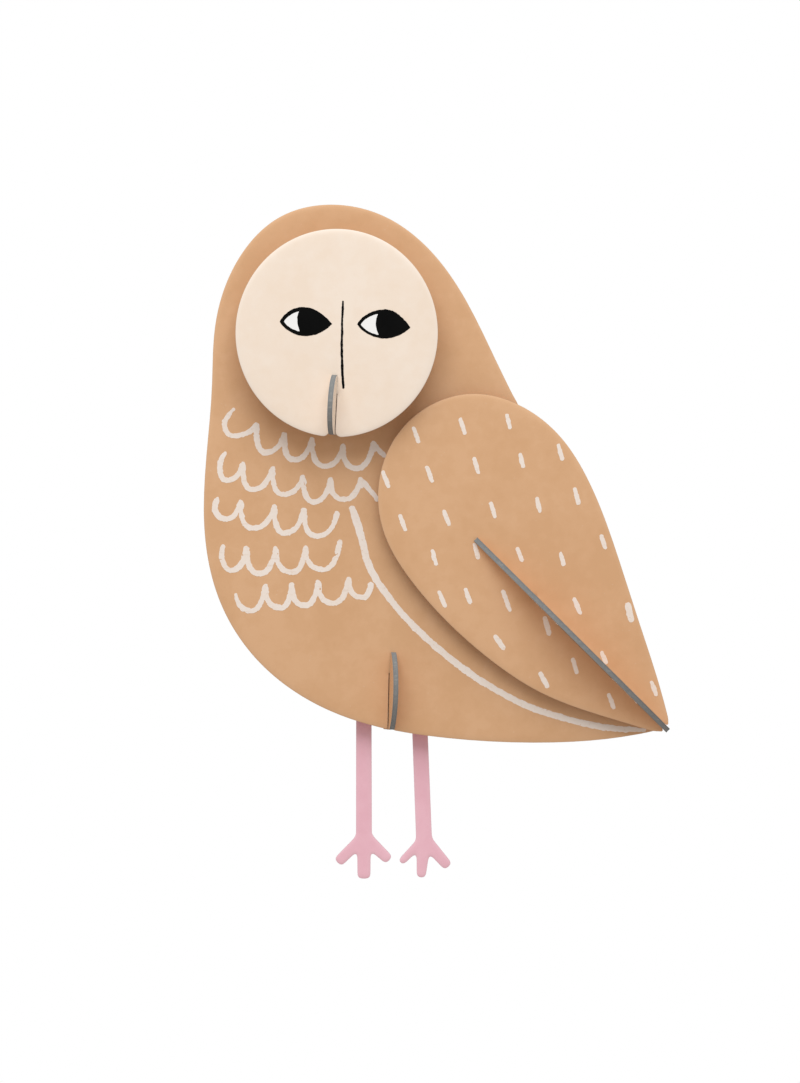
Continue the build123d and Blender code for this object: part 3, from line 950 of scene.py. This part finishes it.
paper_fibre = make_paper_fibre()
ink_mottle = make_ink_mottle()
rolled_edge = make_rolled_edge()
# each print's rim colour and its share: a paler band at the cuts, partly wear and partly painted
# highlight
tan_print = make_print(
    "tan_print", rgb(0.690, 0.409, 0.225), rgb(0.712, 0.429, 0.242), rgb(0.670, 0.392, 0.211),
    rgb(0.72, 0.46, 0.28), 0.3, rgb(0.74, 0.55, 0.40))
cream_print = make_print(
    "cream_print", rgb(0.880, 0.745, 0.624), rgb(0.890, 0.765, 0.652), rgb(0.870, 0.728, 0.600),
    rgb(0.91, 0.80, 0.70), 0.4, rgb(0.86, 0.78, 0.70))
pink_print = make_print(
    "pink_print", rgb(0.880, 0.510, 0.592), rgb(0.895, 0.530, 0.612), rgb(0.860, 0.490, 0.572),
    rgb(0.87, 0.58, 0.64), 0.25, rgb(0.84, 0.66, 0.68))
grey_board = make_grey_board()
white_ink = make_white_ink()
black_ink = make_line_ink(
    "black_line_ink", rgb(0.002, 0.002, 0.002), rgb(0.004, 0.004, 0.004), 0.6, 0.05)
eye_white_ink = make_line_ink(
    "eye_white_ink", rgb(0.880, 0.872, 0.860), rgb(0.900, 0.890, 0.878), 0.6, 0.15)

# ------------------------------------------------------------ make the owl

FLAT = ("front_print", "back_print")
FIN = ("right_print", "left_print")
# name, sides, front and back roll, roll width, step along the cut, field step, cockle
body = Board("body", FLAT, 0.30, 0.10, 2.6, 0.8, 2.8, 1.0)
face = Board("face", FLAT, 0.34, 0.10, 2.6, 0.7, 2.6, 1.0)
wing = Board("wing", FLAT, 0.32, 0.10, 2.6, 0.8, 2.8, 1.0)
legs = Board("legs", FLAT, 0.22, 0.08, 1.5, 0.5, 2.0, 0.0, toes=16.0)
beak = Board("beak", FIN, 0.05, 0.05, 1.2, 0.5, 1.8, 0.0)
keel = Board("keel", FIN, 0.05, 0.05, 1.2, 0.5, 1.8, 0.0)
wing_fin = Board("wing_fin", FIN, 0.05, 0.05, 1.2, 0.6, 2.0, 0.0)

for board, print_material, slot in (
    (body, tan_print, "tan_print"),
    (face, cream_print, "cream_print"),
    (wing, tan_print, "tan_print"),
    (legs, pink_print, "pink_print"),
    (beak, cream_print, "cream_print"),
    (keel, tan_print, "tan_print"),
    (wing_fin, tan_print, "tan_print"),
):
    dress_board(board, print_material)

draw_breast(body)
draw_wing_line(body)
draw_wing_flecks(wing)
draw_face(face)

# --------------------------------------------------------- camera and studio

LOOK_AT = Vector((-7.16, 0.0, -78.13)) * MM
FRAME_TALL = 369.3 * MM
CAMERA_AWAY = 5.0
FLOOR_BELOW = 1.6     # the owl hangs from its hole, so the floor is well below its feet
SENSOR = 36.0

camera_data = bpy.data.cameras.new("camera")
camera_data.sensor_width = SENSOR
camera_data.lens = SENSOR * CAMERA_AWAY / FRAME_TALL
camera_data.clip_end = 30.0
camera = bpy.data.objects.new("camera", camera_data)
camera.location = LOOK_AT + Vector((0, -CAMERA_AWAY, 0))
camera.rotation_euler = (math.radians(90), 0, 0)
bpy.context.scene.collection.objects.link(camera)
bpy.context.scene.camera = camera


def soft_box(name, place, width, height, watts, colour):
    data = bpy.data.lights.new(name, "AREA")
    data.shape, data.size, data.size_y = "RECTANGLE", width, height
    data.energy, data.color = watts, colour
    lamp = bpy.data.objects.new(name, data)
    lamp.location = place
    lamp.rotation_euler = (LOOK_AT - Vector(place)).to_track_quat("-Z", "Y").to_euler()
    bpy.context.scene.collection.objects.link(lamp)


def around(azimuth, elevation, away):
    a, e = math.radians(azimuth), math.radians(elevation)
    toward = Vector((math.sin(a) * math.cos(e), -math.cos(a) * math.cos(e), math.sin(e)))
    return LOOK_AT + toward * away


soft_box("overhead_soft_box", around(-7, 54, 1.05), 0.95, 0.95, 9.0, (0.99, 1.06, 1.11))

world = bpy.data.worlds.new("pale_room")
world.use_nodes = True
room = world.node_tree
background = room.nodes["Background"]
seen = room.nodes.new("ShaderNodeLightPath").outputs["Is Camera Ray"]
tint = mix_colour(room, seen, rgb(1.0, 0.93, 0.87), rgb(1.0, 1.0, 1.0))
room.links.new(tint, background.inputs["Color"])
room.links.new(ramp(room, seen, 0.0, 1.0, 0.58, 1.0), background.inputs["Strength"])
bpy.context.scene.world = world

floor_mesh = bpy.data.meshes.new("pale_floor")
sweep = bmesh.new()
bmesh.ops.create_grid(sweep, x_segments=12, y_segments=12, size=4.0)
bmesh.ops.translate(sweep, verts=sweep.verts, vec=(0, 0, cad_low.z - FLOOR_BELOW))
sweep.to_mesh(floor_mesh)
sweep.free()
floor = bpy.data.objects.new("pale_floor", floor_mesh)
bpy.context.scene.collection.objects.link(floor)
floor_finish, tree, shader = new_finish(
    "pale_floor", Base_Color=rgb(0.92, 0.918, 0.915), Roughness=0.9, Specular_IOR_Level=0.1)
underneath = add(tree, "ShaderNodeNewGeometry").outputs["Backfacing"]
tree.links.new(math_node(tree, "SUBTRACT", 1.0, underneath), shader.inputs["Alpha"])
floor_mesh.materials.append(floor_finish)

bpy.context.scene.view_settings.view_transform = "Standard"
bpy.context.scene.view_settings.look = "None"
